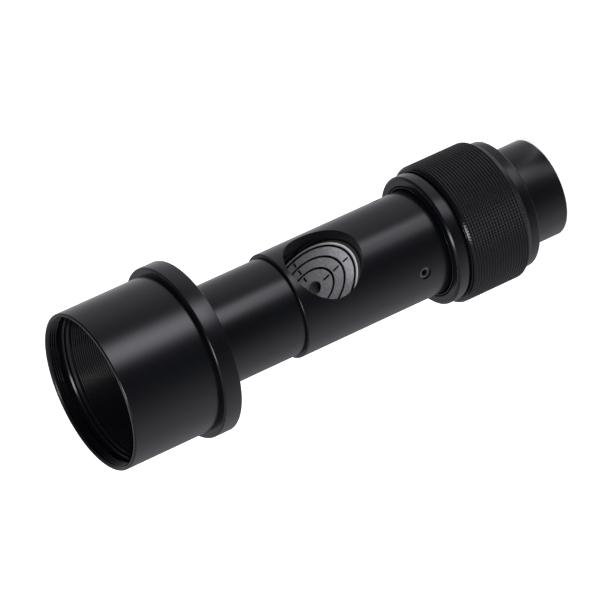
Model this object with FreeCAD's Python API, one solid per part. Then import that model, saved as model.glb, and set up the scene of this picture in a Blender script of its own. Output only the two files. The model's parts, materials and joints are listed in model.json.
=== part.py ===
import FreeCAD, Part
import math
import os

# Telescope collimator, standing on its tail end. Millimetres, +Z towards the open front,
# the origin at the centre of the tail end, the side window towards -Y.

V = FreeCAD.Vector
ORIGIN = V(0, 0, 0)
UP = V(0, 0, 1)

# Outer lengths along the axis, from the tail end to the front rim
TAIL_LEN = 13.9
REAR_COLLAR_LEN = 3.7
GRIP_LEN = 22.1
GROOVE_LEN = 1.0
FRONT_COLLAR_LEN = 4.2
BODY_LEN = 52.4
NOSE_LEN = 30.7
FLANGE_LEN = 6.2
BARREL_LEN = 30.1

# Outer diameters of the standard barrels: the nose and tail, and the wide front barrel
SMALL_BARREL_DIA = 31.75
WIDE_BARREL_DIA = 50.8

# Outer radius of the body, and the flange's step over the wide barrel
BODY_R = 17.05
FLANGE_STEP = 2.34

# Edge breaks
FINE_CHAMFER = 0.3
EDGE_CHAMFER = 0.5
COLLAR_CHAMFER = 0.65

# Play between pieces: a turning fit, a sliding or seated fit, and an end gap
RUN_PLAY = 0.08
SEAT_PLAY = 0.05
END_PLAY = 0.2

# Barrel adapter: walls at the filter thread and behind it, relief, floor and threaded stub
MOUTH_CHAMFER = 0.55
MOUTH_WALL = 1.4
FILTER_THREAD_LEN = 4.2
THREAD_RELIEF = 0.4
RELIEF_LEN = 1.7
STEP_CHAMFER = 0.9
BARREL_WALL = 2.2
ADAPTER_FLOOR = 3.0
NOSE_RIM = 1.625
STUB_LEN = 6.0
STUB_WALL = 1.75

# Main tube: wall of the nose, with one bore from end to end, window and screw holes
NOSE_WALL = 3.225
WINDOW_R = 12.4
WINDOW_BELOW_TARGET = 1.0
SCREW_R = 2.0
SCREW_COUNT = 3

# Target block: height of the middle of its sloping face, pin hole, and the rings and cross
# marks, with each ring's inset from the block's edge
TARGET_RISE = 18.3
TARGET_SLOPE_DEG = 45.0
PIN_HOLE_R = 2.3
BEAM_WELL_R = 5.5
BEAM_WELL_LEN = 5.0
RING_INSETS = (6.9, 3.95, 1.2)
RING_WIDTH = 0.5
DASH_WIDTH = 0.35
DASH_CLEARANCE = 0.65
DASH_START_GAP = 1.1
MARK_DEPTH = 0.25
TARGET_RIM_CHAMFER = 0.25
ARM_COUNT = 4

# Threaded rings inside the tube, with two spanner slots each
LOCK_RING_LEN = 2.5
LOCK_RING_BORE_R = 4.5
LASER_RETAINER_LEN = 3.0
LASER_RETAINER_BORE_R = 5.5
BOARD_RETAINER_LEN = 2.4
BOARD_RETAINER_WALL = 1.5
RING_SLOT_WIDTH = 1.2
RING_SLOT_DEPTH = 1.0

# Laser barrel with its spherical collar, lens seat, beam bore, diode seat and rear well
LASER_LEN = 20.5
LASER_R = 9.5
LASER_WALL = 2.5
LASER_NOSE_R = 6.5
LASER_NOSE_LEN = 1.2
BALL_COLLAR_LEN = 4.0
LENS_R = 4.5
LENS_LEN = 2.4
LENS_BULGE = 0.7
LENS_RETAINER_LEN = 1.6
LENS_RETAINER_WALL = 1.3
LENS_SEAT_DEPTH = 5.5
BEAM_R = 3.2
DIODE_FLANGE_R = 2.8
DIODE_FLANGE_LEN = 1.2
DIODE_CAN_R = 2.0
DIODE_CAN_LEN = 2.3
DIODE_PIN_R = 0.25
DIODE_PIN_PITCH_R = 1.3
DIODE_PIN_COUNT = 3
DIODE_WALL = 1.6
WELL_LEN = 7.0
DRIVER_GAP = 0.3
DRIVER_T = 1.0
DRIVER_INSET = 2.0
WIRE_R = 0.45
WIRE_OFFSET = 3.4

# Adjusting screws, with a hexagon socket, and their place on the laser barrel
SCREW_RISE = 11.1
SCREW_INSET = 0.7
SOCKET_SIDES = 6
SCREW_SOCKET_AF = 2.0
SCREW_SOCKET_DEPTH = 2.2
SCREW_TIP_R = 1.2
SCREW_TIP_LEN = 0.8

# Rubber ring behind the laser barrel, and the board stack at the rear of the tube
PRESSURE_RING_LEN = 2.5
PRESSURE_RING_WALL = 3.1
SPACER_LEN = 7.9
SPACER_WALL = 1.6
BOARD_T = 1.6
BOARD_DEPTH = 3.6
CONTACT_RING_T = 0.15
CONTACT_RING_WIDTH = 2.0

# Turning joint of the dial: stop pin in its arc, clip in its groove, rubber drag ring
TURN_DEG = 280.0
STOP_PIN_R = 0.9
STOP_PIN_SEAT = 3.4
STOP_GROOVE_DEPTH = 2.0
STOP_GROOVE_PLAY = 0.1
PIN_FLOOR_GAP = 0.3
STOP_PIN_DEG = 200.0
TUBE_END_GAP = 1.6
CLIP_T = 1.0
CLIP_DEPTH = 0.9
CLIP_OPEN_DEG = 50.0
DRAG_RISE = 6.0
DRAG_SECTION_R = 0.55
DRAG_GROOVE_LEN = 1.5

# Dial, in steps outwards from the body: the collar's bore, the counterbore for the clip,
# the sleeve's wall, the grip's wall, and the collars' steps over the sleeve
COLLAR_GAP = 0.4
COUNTERBORE_GAP = 1.85
SLEEVE_WALL = 1.3
GRIP_WALL = 2.5
REAR_COLLAR_STEP = 0.69
FRONT_COLLAR_STEP = 0.93
SHOULDER_RISE = 2.8
HUB_LEN = 3.0
COLLAR_INNER_CHAMFER = 0.95
CLIP_PLAY = 0.1

# Knurl: ridges round the grip, and its end chamfers
KNURL_PITCH = 1.015
KNURL_DEPTH = 0.38
KNURL_LAND = 0.28
GRIP_REAR_CHAMFER_LEN = 2.0
GRIP_REAR_CHAMFER_IN = 1.4
GRIP_FRONT_CHAMFER_LEN = 0.8
GRIP_FRONT_CHAMFER_IN = 0.6

# Battery room in the tail: the rim round the cap, and the shoulder that the cap stops on
TAIL_RIM = 2.675
CAP_SHOULDER = 0.8
CAP_RECESS = 0.6
CAP_LEN = 3.8
CAP_THREAD_LEN = 4.6
CAP_SLOT_WIDTH = 1.8
CAP_SLOT_LEN = 14.0
CAP_SLOT_DEPTH = 1.5
CAP_SEAL_R = 0.45
CAP_SEAL_RISE = 2.2
LEAF_RISE = 1.8
LEAF_T = 0.3
LEAF_WIDTH = 5.0
LEAF_LEN = 15.0
LEAF_TOP_LEN = 5.0
CELL_R = 10.0
CELL_LEN = 3.2
CELL_STEP = 0.6
CELL_EDGE = 1.8
CUP_WALL_GAP = 0.15
CUP_FLOOR = 2.6
CUP_SKIRT_LEN = 4.4
RIVET_R = 1.3
RIVET_HEAD_R = 2.8
RIVET_HEAD_LEN = 0.8
RIB_LEN = 3.0
RIB_DEPTH = 0.9

# Contact carrier and its pins
CARRIER_DISC_LEN = 2.4
CARRIER_HUB_GAP = 0.8
CARRIER_HUB_BELOW_BOARD = 1.6
CARRIER_PIN_R = 0.9
CARRIER_PIN_DEPTH = 6.0
CARRIER_PIN_OFFSETS = (5.0, 8.2)
PIN_BOARD_GAP = 0.04

# Radii of the outer form
NOSE_R = SMALL_BARREL_DIA / 2
TAIL_R = SMALL_BARREL_DIA / 2
BARREL_R = WIDE_BARREL_DIA / 2
FLANGE_R = BARREL_R + FLANGE_STEP
COLLAR_BORE_R = BODY_R + COLLAR_GAP
COUNTERBORE_R = BODY_R + COUNTERBORE_GAP
SLEEVE_R = COUNTERBORE_R + SLEEVE_WALL
REAR_COLLAR_R = SLEEVE_R + REAR_COLLAR_STEP
FRONT_COLLAR_R = SLEEVE_R + FRONT_COLLAR_STEP
GRIP_R = SLEEVE_R + GRIP_WALL

# Radii of bores and inner pieces
TUBE_BORE_R = NOSE_R - NOSE_WALL
FILTER_THREAD_R = BARREL_R - MOUTH_WALL
BARREL_BORE_R = BARREL_R - BARREL_WALL
STUB_R = NOSE_R - NOSE_RIM
CAP_THREAD_R = TAIL_R - TAIL_RIM
CELL_ROOM_R = CAP_THREAD_R - CAP_SHOULDER
INSERT_R = TUBE_BORE_R - SEAT_PLAY
RING_RADII = [INSERT_R - inset for inset in RING_INSETS]
BOARD_RETAINER_BORE_R = INSERT_R - BOARD_RETAINER_WALL
WELL_R = LASER_R - LASER_WALL
CARRIER_HUB_R = BOARD_RETAINER_BORE_R - CARRIER_HUB_GAP
CLIP_GROOVE_R = BODY_R - CLIP_DEPTH
STOP_PITCH_R = (TUBE_BORE_R + BODY_R) / 2

# Stations of the outer form
Z_REAR_COLLAR = TAIL_LEN
Z_GRIP = Z_REAR_COLLAR + REAR_COLLAR_LEN
Z_GROOVE = Z_GRIP + GRIP_LEN
Z_FRONT_COLLAR = Z_GROOVE + GROOVE_LEN
Z_BODY = Z_FRONT_COLLAR + FRONT_COLLAR_LEN
Z_NOSE = Z_BODY + BODY_LEN
Z_FLANGE = Z_NOSE + NOSE_LEN
Z_BARREL = Z_FLANGE + FLANGE_LEN
Z_FRONT = Z_BARREL + BARREL_LEN

# Stations of the battery stack
Z_CAP = CAP_RECESS
Z_LEAF = Z_CAP + CAP_LEN
Z_CELL = Z_LEAF + LEAF_RISE
Z_CUP_FLOOR = Z_CELL + CELL_LEN
Z_RIB = Z_CUP_FLOOR + CUP_FLOOR
Z_CARRIER = Z_RIB + RIB_LEN

# Stations inside the main tube
Z_SHOULDER = Z_GRIP + SHOULDER_RISE
Z_TUBE_END = Z_SHOULDER + TUBE_END_GAP
Z_BOARD_RETAINER = Z_TUBE_END + BOARD_DEPTH
Z_BOARD = Z_BOARD_RETAINER + BOARD_RETAINER_LEN
Z_SPACER = Z_BOARD + BOARD_T
Z_LASER_RETAINER = Z_SPACER + SPACER_LEN
Z_PRESSURE_RING = Z_LASER_RETAINER + LASER_RETAINER_LEN
Z_LASER = Z_PRESSURE_RING + PRESSURE_RING_LEN
Z_LOCK_RING = Z_LASER + LASER_LEN
Z_TARGET = Z_LOCK_RING + LOCK_RING_LEN
Z_TARGET_FACE = Z_TARGET + TARGET_RISE
Z_WINDOW = Z_TARGET_FACE - WINDOW_BELOW_TARGET
Z_SCREWS = Z_LASER + SCREW_RISE
Z_DIODE = Z_LASER + WELL_LEN
Z_DRIVER = Z_LASER + DRIVER_INSET
Z_LENS = Z_LOCK_RING - LENS_SEAT_DEPTH

# Stations of the turning joint
Z_HUB = Z_FRONT_COLLAR - HUB_LEN
Z_CLIP = Z_HUB - CLIP_PLAY - CLIP_T
Z_DRAG = Z_TUBE_END + DRAG_RISE


def turned(profile):
    """Solid of revolution about the axis from a closed outline of (radius, height) points."""
    points = [V(r, 0, z) for r, z in profile]
    wire = Part.makePolygon(points + points[:1])
    return Part.Face(wire).revolve(ORIGIN, UP, 360)


def tube(outer_r, inner_r, z, length):
    """Plain ring about the axis."""
    return turned([(inner_r, z), (outer_r, z), (outer_r, z + length), (inner_r, z + length)])


def rod(radius, z, length, x=0.0, y=0.0):
    """Cylinder along the axis, with its foot at (x, y, z)."""
    return Part.makeCylinder(radius, length, V(x, y, z), UP)


def on_circle(radius, angle_deg, z=0.0):
    """Point at a radius and an angle about the axis."""
    angle = math.radians(angle_deg)
    return V(radius * math.cos(angle), radius * math.sin(angle), z)


def spanner_slots(outer_r, bore_r, z_face, direction):
    """Two slots across the face of a threaded ring, cut into it along the axis."""
    low = z_face if direction > 0 else z_face - RING_SLOT_DEPTH
    bar = Part.makeBox(2 * outer_r, RING_SLOT_WIDTH, RING_SLOT_DEPTH,
                       V(-outer_r, -RING_SLOT_WIDTH / 2, low))
    return bar.cut(rod(bore_r, low, RING_SLOT_DEPTH))


def threaded_ring(bore_r, z, length):
    """Ring that screws into the main tube from behind, with spanner slots in its rear face."""
    ring = tube(INSERT_R, bore_r, z, length)
    return ring.cut(spanner_slots(INSERT_R, bore_r, z, 1))


def o_ring(centre_r, section_r, z):
    """Round-section ring about the axis."""
    return Part.makeTorus(centre_r, section_r, V(0, 0, z), UP)


def two_inch_adapter():
    """Barrel with a threaded mouth, flange, floor, and the stub that screws into the nose."""
    z_thread_end = Z_FRONT - FILTER_THREAD_LEN
    z_relief_end = z_thread_end - RELIEF_LEN
    z_floor = Z_FLANGE + ADAPTER_FLOOR
    relief_r = FILTER_THREAD_R + THREAD_RELIEF
    stub_end = Z_FLANGE - STUB_LEN
    stub_bore_r = STUB_R - STUB_WALL
    return turned([
        (stub_bore_r, stub_end),
        (STUB_R - SEAT_PLAY - FINE_CHAMFER, stub_end),
        (STUB_R - SEAT_PLAY, stub_end + FINE_CHAMFER),
        (STUB_R - SEAT_PLAY, Z_FLANGE),
        (FLANGE_R - EDGE_CHAMFER, Z_FLANGE),
        (FLANGE_R, Z_FLANGE + EDGE_CHAMFER),
        (FLANGE_R, Z_BARREL - EDGE_CHAMFER),
        (FLANGE_R - EDGE_CHAMFER, Z_BARREL),
        (BARREL_R, Z_BARREL),
        (BARREL_R, Z_FRONT - FINE_CHAMFER),
        (BARREL_R - FINE_CHAMFER, Z_FRONT),
        (FILTER_THREAD_R + MOUTH_CHAMFER, Z_FRONT),
        (FILTER_THREAD_R, Z_FRONT - MOUTH_CHAMFER),
        (FILTER_THREAD_R, z_thread_end),
        (relief_r, z_thread_end - THREAD_RELIEF),
        (relief_r, z_relief_end),
        (BARREL_BORE_R + STEP_CHAMFER, z_relief_end),
        (BARREL_BORE_R, z_relief_end - STEP_CHAMFER),
        (BARREL_BORE_R, z_floor + EDGE_CHAMFER),
        (BARREL_BORE_R - EDGE_CHAMFER, z_floor),
        (stub_bore_r, z_floor),
    ])


def screw_angles():
    """Angles of the adjusting screws, evenly spaced with the window between two of them."""
    step = 360.0 / SCREW_COUNT
    return [-90.0 + step / 2 + i * step for i in range(SCREW_COUNT)]


def main_tube():
    """Nose and body in one, with the window, the screw holes and the seats for the dial."""
    stub_room = STUB_LEN + EDGE_CHAMFER
    shell = turned([
        (TUBE_BORE_R, Z_TUBE_END),
        (BODY_R - FINE_CHAMFER, Z_TUBE_END),
        (BODY_R, Z_TUBE_END + FINE_CHAMFER),
        (BODY_R, Z_NOSE - FINE_CHAMFER),
        (BODY_R - FINE_CHAMFER, Z_NOSE),
        (NOSE_R, Z_NOSE),
        (NOSE_R, Z_FLANGE),
        (STUB_R, Z_FLANGE),
        (STUB_R, Z_FLANGE - stub_room),
        (TUBE_BORE_R, Z_FLANGE - stub_room),
    ])
    window = Part.makeCylinder(WINDOW_R, 2 * BODY_R, V(0, 0, Z_WINDOW), V(0, -1, 0))
    cuts = [window]
    for angle in screw_angles():
        cuts.append(Part.makeCylinder(SCREW_R, 2 * BODY_R, V(0, 0, Z_SCREWS), on_circle(1, angle)))
    cuts.append(tube(2 * BODY_R, CLIP_GROOVE_R, Z_CLIP - SEAT_PLAY, CLIP_T + 2 * SEAT_PLAY))
    drag_floor_r = BODY_R - 2 * DRAG_SECTION_R
    cuts.append(tube(2 * BODY_R, drag_floor_r, Z_DRAG - DRAG_GROOVE_LEN / 2, DRAG_GROOVE_LEN))
    pin_foot = on_circle(STOP_PITCH_R, STOP_PIN_DEG, Z_TUBE_END)
    cuts.append(rod(STOP_PIN_R, Z_TUBE_END, STOP_PIN_SEAT, pin_foot.x, pin_foot.y))
    return shell.cut(cuts)


def below_slope(z_centre, size):
    """Block that fills everything under the sloping plane whose middle is at z_centre."""
    block = Part.makeBox(size, size, size, V(-size / 2, -size / 2, -size))
    block.rotate(ORIGIN, V(1, 0, 0), TARGET_SLOPE_DEG)
    block.translate(V(0, 0, z_centre))
    return block


def target_marks():
    """Rings and cross marks of the target, as full-height columns to be cut to depth."""
    height = 4 * INSERT_R
    z_low = Z_TARGET_FACE - height / 2
    columns = [tube(r + RING_WIDTH / 2, r - RING_WIDTH / 2, z_low, height) for r in RING_RADII]
    starts = [PIN_HOLE_R + DASH_START_GAP] + [r + DASH_CLEARANCE for r in RING_RADII[:-1]]
    ends = [r - DASH_CLEARANCE for r in RING_RADII]
    for start, end in zip(starts, ends):
        for arm in range(ARM_COUNT):
            dash = Part.makeBox(end - start, DASH_WIDTH, height, V(start, -DASH_WIDTH / 2, z_low))
            dash.rotate(ORIGIN, UP, arm * 360.0 / ARM_COUNT)
            columns.append(dash)
    return columns


def target_block():
    """Cylinder cut off at 45 degrees, facing the window and the front, with engraved marks."""
    size = 6 * INSERT_R
    depth_along_axis = MARK_DEPTH / math.cos(math.radians(TARGET_SLOPE_DEG))
    column = rod(INSERT_R, Z_TARGET, TARGET_RISE + 2 * INSERT_R)
    block = column.common(below_slope(Z_TARGET_FACE, size))
    rim = [edge for edge in block.Edges if isinstance(edge.Curve, Part.Ellipse)]
    block = block.makeChamfer(TARGET_RIM_CHAMFER, rim)
    floor = below_slope(Z_TARGET_FACE - depth_along_axis, size)
    marks = [column.cut(floor) for column in target_marks()]
    beam = rod(PIN_HOLE_R, Z_TARGET, TARGET_RISE + 2 * INSERT_R)
    well = rod(BEAM_WELL_R, Z_TARGET, BEAM_WELL_LEN)
    return block.cut(marks + [beam, well])


def target_lock_ring():
    """Ring behind the target block, which also stops the laser barrel."""
    return threaded_ring(LOCK_RING_BORE_R, Z_LOCK_RING, LOCK_RING_LEN)


def laser_barrel():
    """Brass barrel with a spherical collar that seats in the tube and lets it tilt."""
    z_nose = Z_LOCK_RING - LASER_NOSE_LEN
    z_ball_rear = z_nose - BALL_COLLAR_LEN
    z_ball = z_nose - BALL_COLLAR_LEN / 2
    body = rod(LASER_R, Z_LASER, LASER_LEN - LASER_NOSE_LEN - BALL_COLLAR_LEN / 2)
    ball = Part.makeSphere(INSERT_R, V(0, 0, z_ball))
    band = ball.common(rod(2 * INSERT_R, z_ball_rear, BALL_COLLAR_LEN))
    nose = rod(LASER_NOSE_R, z_ball, Z_LOCK_RING - z_ball)
    well = rod(WELL_R, Z_LASER, WELL_LEN)
    diode_seat = rod(DIODE_FLANGE_R, Z_DIODE, DIODE_FLANGE_LEN)
    beam = rod(BEAM_R, Z_DIODE + DIODE_FLANGE_LEN, Z_LENS - Z_DIODE - DIODE_FLANGE_LEN)
    diode_collar = rod(DIODE_CAN_R + SEAT_PLAY, Z_DIODE + DIODE_FLANGE_LEN, DIODE_WALL)
    beam = beam.cut(tube(BEAM_R, DIODE_CAN_R + SEAT_PLAY, Z_DIODE + DIODE_FLANGE_LEN, DIODE_WALL))
    lens_seat = rod(LENS_R + SEAT_PLAY, Z_LENS, LENS_SEAT_DEPTH)
    return body.fuse([band, nose]).cut([well, diode_seat, diode_collar, beam, lens_seat])


def collimating_lens():
    """Lens with a flat rear face and a domed front, seated in the laser barrel."""
    dome_r = (LENS_R**2 + LENS_BULGE**2) / (2 * LENS_BULGE)
    dome = Part.makeSphere(dome_r, V(0, 0, Z_LENS + LENS_LEN - dome_r))
    return rod(LENS_R, Z_LENS, LENS_LEN).common(dome)


def lens_retainer():
    """Threaded ring that holds the lens by its edge."""
    z = Z_LENS + LENS_LEN - LENS_BULGE
    ring = tube(LENS_R, LENS_R - LENS_RETAINER_WALL, z, LENS_RETAINER_LEN)
    return ring.cut(collimating_lens())


def laser_diode():
    """Round can on a flange, with its pins down to the driver board."""
    z_pins = Z_DRIVER + DRIVER_T
    can = rod(DIODE_CAN_R, Z_DIODE, DIODE_FLANGE_LEN + DIODE_CAN_LEN)
    flange = rod(DIODE_FLANGE_R - SEAT_PLAY, Z_DIODE, DIODE_FLANGE_LEN)
    pins = []
    for i in range(DIODE_PIN_COUNT):
        foot = on_circle(DIODE_PIN_PITCH_R, i * 360.0 / DIODE_PIN_COUNT)
        pins.append(rod(DIODE_PIN_R, z_pins, Z_DIODE - z_pins, foot.x, foot.y))
    return flange.fuse([can] + pins)


def driver_board():
    """Small round board behind the diode."""
    return rod(WELL_R - DRIVER_GAP, Z_DRIVER, DRIVER_T)


def lead_wires():
    """Two straight leads from the driver board to the contact board."""
    length = Z_DRIVER - Z_SPACER
    return Part.makeCompound([rod(WIRE_R, Z_SPACER, length, x) for x in (-WIRE_OFFSET, WIRE_OFFSET)])


def adjusting_screws():
    """Grub screws that bear on the laser barrel, each with a hexagon socket."""
    screws = []
    length = BODY_R - SCREW_INSET - LASER_R
    socket_r = SCREW_SOCKET_AF / math.sqrt(3)
    for angle in screw_angles():
        thread_r = SCREW_R - SEAT_PLAY
        shank = Part.makeCylinder(thread_r, length - SCREW_TIP_LEN, V(0, 0, SCREW_TIP_LEN), UP)
        tip = Part.makeCone(SCREW_TIP_R, thread_r, SCREW_TIP_LEN)
        corners = [on_circle(socket_r, i * 360.0 / SOCKET_SIDES, length)
                   for i in range(SOCKET_SIDES)]
        outline = Part.makePolygon(corners + corners[:1])
        socket = Part.Face(outline).extrude(V(0, 0, -SCREW_SOCKET_DEPTH))
        screw = tip.fuse(shank).cut(socket)
        screw.rotate(ORIGIN, V(0, 1, 0), 90)
        screw.translate(V(LASER_R, 0, Z_SCREWS))
        screw.rotate(ORIGIN, UP, angle)
        screws.append(screw)
    return Part.makeCompound(screws)


def pressure_ring():
    """Rubber ring that pushes the laser barrel forward on its seat."""
    return tube(LASER_R, LASER_R - PRESSURE_RING_WALL, Z_PRESSURE_RING, PRESSURE_RING_LEN)


def laser_retainer():
    """Ring behind the rubber ring."""
    return threaded_ring(LASER_RETAINER_BORE_R, Z_LASER_RETAINER, LASER_RETAINER_LEN)


def board_spacer():
    """Plastic sleeve between the laser's retaining ring and the contact board."""
    return tube(INSERT_R, INSERT_R - SPACER_WALL, Z_SPACER, SPACER_LEN)


def switch_board():
    """Round contact board, with a raised pad in the middle and two contact rings."""
    board = rod(INSERT_R, Z_BOARD, BOARD_T)
    pads = [rod(CONTACT_RING_WIDTH, Z_BOARD - CONTACT_RING_T, CONTACT_RING_T)]
    for r in CARRIER_PIN_OFFSETS:
        half = CONTACT_RING_WIDTH / 2
        pads.append(tube(r + half, r - half, Z_BOARD - CONTACT_RING_T, CONTACT_RING_T))
    return board.fuse(pads)


def board_retainer():
    """Ring that holds the contact board from behind."""
    return threaded_ring(BOARD_RETAINER_BORE_R, Z_BOARD_RETAINER, BOARD_RETAINER_LEN)


def stop_pin():
    """Pin in the tube's rear face that runs in the dial's arc-shaped groove."""
    z_low = Z_SHOULDER - STOP_GROOVE_DEPTH + PIN_FLOOR_GAP
    foot = on_circle(STOP_PITCH_R, STOP_PIN_DEG)
    return rod(STOP_PIN_R, z_low, Z_TUBE_END + STOP_PIN_SEAT - z_low, foot.x, foot.y)


def retaining_clip():
    """Open clip in the tube's groove, held between the dial's shoulder and the collar's hub."""
    outer_r = COUNTERBORE_R - END_PLAY
    ring = tube(outer_r, CLIP_GROOVE_R + SEAT_PLAY, Z_CLIP, CLIP_T)
    wedge = Part.makeCylinder(2 * outer_r, CLIP_T, V(0, 0, Z_CLIP), UP, CLIP_OPEN_DEG)
    return ring.cut(wedge)


def drag_ring():
    """Rubber ring in the tube's groove that makes the dial turn firmly."""
    return o_ring(BODY_R - DRAG_SECTION_R, DRAG_SECTION_R, Z_DRAG)


def stop_groove():
    """Arc-shaped groove in the dial's shoulder, as long as the dial's turn."""
    half_width = STOP_PIN_R + STOP_GROOVE_PLAY
    z_low = Z_SHOULDER - STOP_GROOVE_DEPTH
    inner, outer = STOP_PITCH_R - half_width, STOP_PITCH_R + half_width
    corners = [V(inner, 0, z_low), V(outer, 0, z_low), V(outer, 0, Z_SHOULDER),
               V(inner, 0, Z_SHOULDER), V(inner, 0, z_low)]
    band = Part.Face(Part.makePolygon(corners)).revolve(ORIGIN, UP, TURN_DEG)
    band.rotate(ORIGIN, UP, STOP_PIN_DEG - TURN_DEG)
    ends = []
    for angle in (STOP_PIN_DEG, STOP_PIN_DEG - TURN_DEG):
        foot = on_circle(STOP_PITCH_R, angle)
        ends.append(rod(half_width, z_low, STOP_GROOVE_DEPTH, foot.x, foot.y))
    return band.fuse(ends)


def battery_housing():
    """Tail, rear collar and the sleeve that turns on the main tube, in one piece."""
    bearing_r = BODY_R + RUN_PLAY
    rib_r = CELL_ROOM_R - RIB_DEPTH
    z_counterbore = Z_CLIP - CLIP_PLAY
    body = turned([
        (CAP_THREAD_R, 0),
        (TAIL_R - FINE_CHAMFER, 0),
        (TAIL_R, FINE_CHAMFER),
        (TAIL_R, Z_REAR_COLLAR),
        (REAR_COLLAR_R - EDGE_CHAMFER, Z_REAR_COLLAR),
        (REAR_COLLAR_R, Z_REAR_COLLAR + EDGE_CHAMFER),
        (REAR_COLLAR_R, Z_GRIP),
        (SLEEVE_R, Z_GRIP),
        (SLEEVE_R, Z_FRONT_COLLAR),
        (COUNTERBORE_R, Z_FRONT_COLLAR),
        (COUNTERBORE_R, z_counterbore),
        (bearing_r, z_counterbore),
        (bearing_r, Z_SHOULDER),
        (CELL_ROOM_R, Z_SHOULDER),
        (CELL_ROOM_R, Z_CARRIER),
        (rib_r, Z_CARRIER),
        (rib_r, Z_RIB),
        (CELL_ROOM_R, Z_RIB),
        (CELL_ROOM_R, CAP_THREAD_LEN),
        (CAP_THREAD_R, CAP_THREAD_LEN),
    ])
    return body.cut(stop_groove())


def knurled_grip():
    """Grip ring with ridges round it; the chamfered ends are plain."""
    z_low = Z_GRIP + GRIP_REAR_CHAMFER_LEN
    z_high = Z_GROOVE - GRIP_FRONT_CHAMFER_LEN
    count = int((z_high - z_low) / KNURL_PITCH)
    bore_r = SLEEVE_R + SEAT_PLAY
    outline = [(bore_r, Z_GRIP), (GRIP_R - GRIP_REAR_CHAMFER_IN, Z_GRIP), (GRIP_R, z_low)]
    margin = (z_high - z_low - count * KNURL_PITCH) / 2
    for i in range(count):
        z = z_low + margin + i * KNURL_PITCH
        outline += [(GRIP_R, z + KNURL_LAND / 2), (GRIP_R - KNURL_DEPTH, z + KNURL_PITCH / 2),
                    (GRIP_R, z + KNURL_PITCH - KNURL_LAND / 2)]
    outline += [(GRIP_R, z_high), (GRIP_R - GRIP_FRONT_CHAMFER_IN, Z_GROOVE), (bore_r, Z_GROOVE)]
    return turned(outline)


def front_collar():
    """Smooth collar with a threaded hub that keeps the clip in the dial."""
    hub_r = COUNTERBORE_R - SEAT_PLAY
    return turned([
        (COLLAR_BORE_R, Z_HUB),
        (hub_r, Z_HUB),
        (hub_r, Z_FRONT_COLLAR),
        (FRONT_COLLAR_R - FINE_CHAMFER, Z_FRONT_COLLAR),
        (FRONT_COLLAR_R, Z_FRONT_COLLAR + FINE_CHAMFER),
        (FRONT_COLLAR_R, Z_BODY - COLLAR_CHAMFER),
        (FRONT_COLLAR_R - COLLAR_CHAMFER, Z_BODY),
        (COLLAR_BORE_R + COLLAR_INNER_CHAMFER, Z_BODY),
        (COLLAR_BORE_R, Z_BODY - COLLAR_INNER_CHAMFER),
    ])


def contact_carrier():
    """Plastic disc and hub in the dial, which carry the spring pins into the tube's rear end."""
    z_top = Z_BOARD - CARRIER_HUB_BELOW_BOARD
    disc = rod(CELL_ROOM_R - SEAT_PLAY, Z_CARRIER, CARRIER_DISC_LEN)
    hub = rod(CARRIER_HUB_R, Z_CARRIER, z_top - Z_CARRIER)
    holes = [rod(CARRIER_PIN_R, Z_CARRIER, z_top - Z_CARRIER)]
    for x in CARRIER_PIN_OFFSETS:
        holes.append(rod(CARRIER_PIN_R, z_top - CARRIER_PIN_DEPTH, CARRIER_PIN_DEPTH, x))
    return disc.fuse(hub).cut(holes)


def spring_pin(z_low, x):
    """Round pin with a domed tip that nearly meets the contact board."""
    z_tip = Z_BOARD - CONTACT_RING_T - PIN_BOARD_GAP
    z_dome = z_tip - CARRIER_PIN_R
    dome = Part.makeSphere(CARRIER_PIN_R, V(x, 0, z_dome))
    return rod(CARRIER_PIN_R, z_low, z_dome - z_low, x).fuse(dome)


def centre_pin():
    """Long pin from the battery rivet to the middle of the contact board."""
    return spring_pin(Z_RIB + RIVET_HEAD_LEN + CARRIER_PIN_R, 0)


def contact_pins():
    """Two pins that run on the board's contact rings."""
    z_low = Z_BOARD - CARRIER_HUB_BELOW_BOARD - CARRIER_PIN_DEPTH
    return Part.makeCompound([spring_pin(z_low + CARRIER_PIN_R, x) for x in CARRIER_PIN_OFFSETS])


def battery_cup():
    """Plastic cup that keeps the cell off the metal wall."""
    outer_r = CELL_ROOM_R - SEAT_PLAY
    inner_r = CELL_R + CUP_WALL_GAP
    z_low = Z_CUP_FLOOR - CUP_SKIRT_LEN
    return turned([
        (inner_r, z_low), (outer_r, z_low), (outer_r, Z_RIB), (RIVET_R, Z_RIB),
        (RIVET_R, Z_CUP_FLOOR), (inner_r, Z_CUP_FLOOR),
    ])


def battery_rivet():
    """Rivet through the cup's floor, from the cell to the centre pin."""
    shank = rod(RIVET_R, Z_CUP_FLOOR, CUP_FLOOR)
    head = rod(RIVET_HEAD_R, Z_RIB, RIVET_HEAD_LEN)
    return shank.fuse(head)


def battery_cell():
    """Flat round cell with its smaller face towards the tail."""
    button_r = CELL_R - CELL_EDGE
    return turned([
        (0, Z_CELL), (button_r, Z_CELL), (button_r, Z_CELL + CELL_STEP),
        (CELL_R, Z_CELL + CELL_STEP), (CELL_R, Z_CUP_FLOOR), (0, Z_CUP_FLOOR),
    ])


def battery_leaf():
    """Bowed strip spring between the cap and the cell."""
    half, top = LEAF_LEN / 2, LEAF_TOP_LEN / 2
    z_low, z_high = Z_LEAF, Z_CELL
    outline = [(-half, z_low), (-top, z_high - LEAF_T), (top, z_high - LEAF_T), (half, z_low),
               (half, z_low + LEAF_T), (top, z_high), (-top, z_high), (-half, z_low + LEAF_T)]
    points = [V(x, -LEAF_WIDTH / 2, z) for x, z in outline]
    return Part.Face(Part.makePolygon(points + points[:1])).extrude(V(0, LEAF_WIDTH, 0))


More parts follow.
